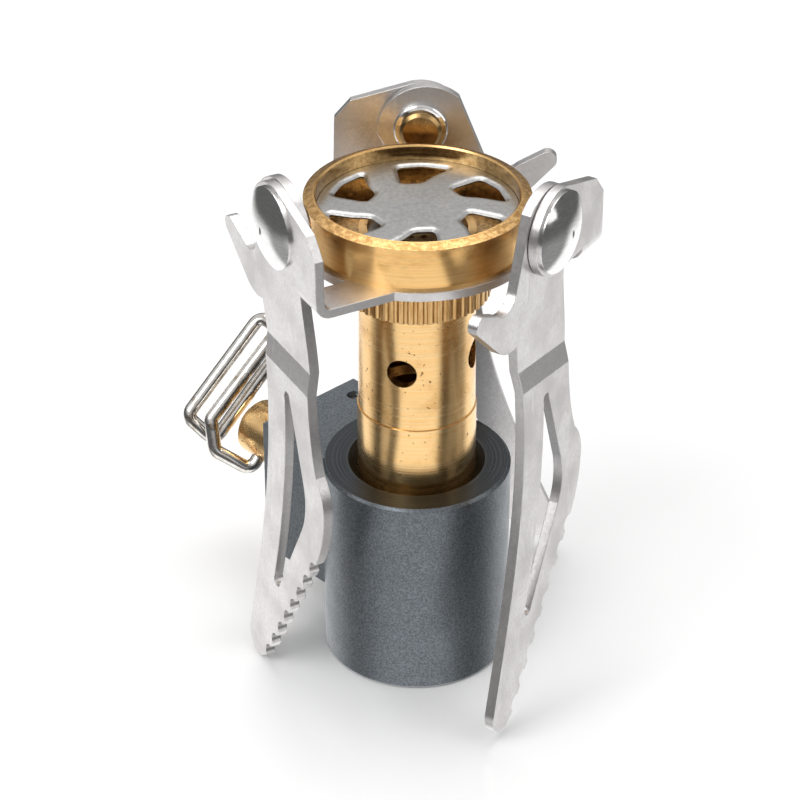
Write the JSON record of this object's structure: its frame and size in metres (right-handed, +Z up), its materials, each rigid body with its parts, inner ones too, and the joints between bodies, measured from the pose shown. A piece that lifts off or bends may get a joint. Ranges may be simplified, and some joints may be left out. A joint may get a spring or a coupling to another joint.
{
  "type": "folding gas canister stove",
  "caption": "Upright screw-on canister gas stove, folded: brass burner column on a grey valve body, with hinged sheet-steel pot supports and a wire valve handle.",
  "frame": {"origin": "centre of the canister thread's mouth, in the valve body's bottom face", "axes": "+Z up along the burner's axis; +Y towards the rear pot support's hinge; the valve spindle points between -X and +Y"},
  "size_m": [0.0395, 0.0385, 0.0521],
  "materials": {
    "coated_aluminium": "dark blue-grey hard coat, satin",
    "brass": "turned",
    "sintered_bronze": "matt",
    "support_steel": "satin, blanked edges",
    "burner_steel": "satin",
    "polished_steel": "polished",
    "wire_steel": "drawn, bright",
    "seal_rubber": "matt"
  },
  "bodies": {
    "stove": {"valve_body": "coated_aluminium", "spindle_stop_pin": "polished_steel", "canister_seal": "seal_rubber", "valve_pin": "brass", "gas_filter": "sintered_bronze", "packing_nut": "brass", "jet_holder": "brass", "gas_jet": "brass", "mixing_tube": "brass", "clamp_nut": "brass", "burner_cup": "brass", "flame_plate": "burner_steel", "flame_screen": "burner_steel", "support_bracket": "support_steel", "hinge_rivet_left": "polished_steel", "hinge_rivet_right": "polished_steel", "hinge_rivet_rear": "polished_steel", "hinge_washer_left": "polished_steel", "hinge_washer_right": "polished_steel", "hinge_washer_rear": "polished_steel"},
    "support_left": {"pot_support_left": "support_steel"},
    "support_right": {"pot_support_right": "support_steel"},
    "support_rear": {"pot_support_rear": "support_steel"},
    "spindle": {"needle_spindle": "brass", "spindle_head": "brass", "spindle_o_ring": "seal_rubber"},
    "handle": {"wire_handle": "wire_steel"}
  },
  "joints": [
    {"name": "left_support_swing", "type": "hinge", "parent": "stove", "child": "support_left", "pos_m": [-0.01091, -0.0063, 0.048], "axis": [0.866, 0.5, 0], "range_deg": [0, 240]},
    {"name": "right_support_swing", "type": "hinge", "parent": "stove", "child": "support_right", "pos_m": [0.01091, -0.0063, 0.048], "axis": [-0.866, 0.5, 0], "range_deg": [-6.5, 233.5]},
    {"name": "rear_support_swing", "type": "hinge", "parent": "stove", "child": "support_rear", "pos_m": [0, 0.0126, 0.048], "axis": [0, -1, 0], "range_deg": [-3, 230]},
    {"name": "valve_turn", "type": "hinge", "parent": "stove", "child": "spindle", "pos_m": [-0.01464, 0.01464, 0.0131], "axis": [-0.7071, 0.7071, 0], "range_deg": [0, 720]},
    {"name": "handle_fold", "type": "hinge", "parent": "spindle", "child": "handle", "pos_m": [-0.01464, 0.01464, 0.0131], "axis": [-0.4731, -0.4731, -0.7431], "range_deg": [-30, 110]}
  ]
}
